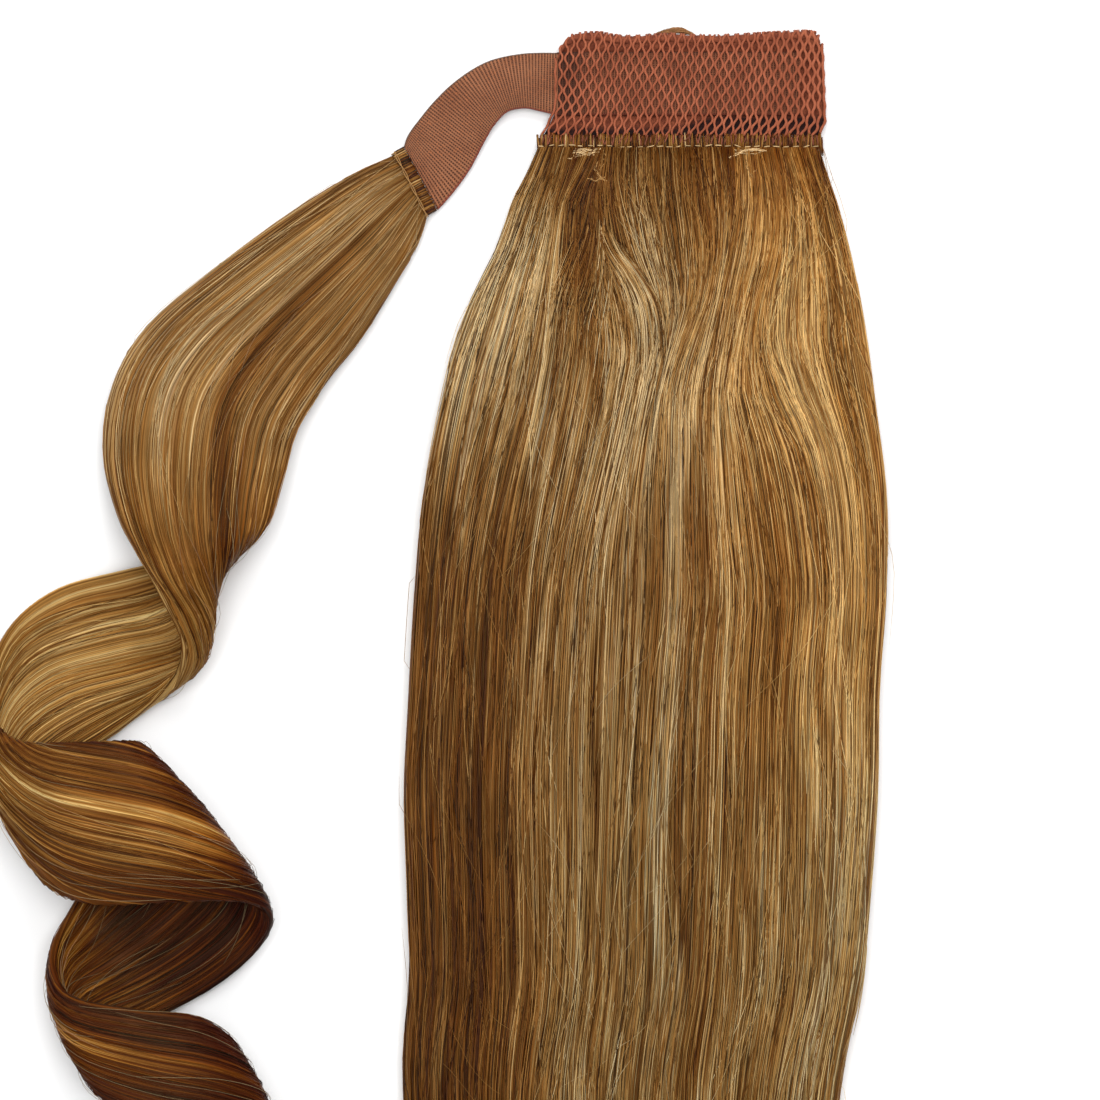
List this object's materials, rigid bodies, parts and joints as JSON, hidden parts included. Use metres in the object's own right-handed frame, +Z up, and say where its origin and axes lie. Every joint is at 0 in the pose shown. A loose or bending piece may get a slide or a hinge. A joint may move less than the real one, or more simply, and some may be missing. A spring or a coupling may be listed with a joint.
{
  "type": "wrap-around ponytail hairpiece",
  "caption": "Wrap-around ponytail hairpiece: long straight hair hung from a net base with a hidden comb, and an elastic strap with a curled lock that winds round the join.",
  "frame": {"origin": "centre of the comb's spine under the net base, on the face that it lies on", "axes": "+X to the right across the net base, +Y from the tips of the hair to the base's fold, +Z up out of the face that shows"},
  "size_m": [0.3433, 0.602, 0.0457],
  "materials": {
    "hair": "golden blond with brown and light strands, soft shine",
    "net": "dusty rose knitted net, matt",
    "elastic": "dusty rose ribbed elastic, matt",
    "weft": "looped hair with a line of cream stitches",
    "comb": "plain brown plastic"
  },
  "bodies": {
    "root": {"net_band": "net", "elastic_strap": "elastic", "ponytail_seam": "weft", "ponytail_hair": "hair", "wrap_seam": "weft", "wrap_lock": "hair", "comb": "comb"}
  },
  "joints": []
}
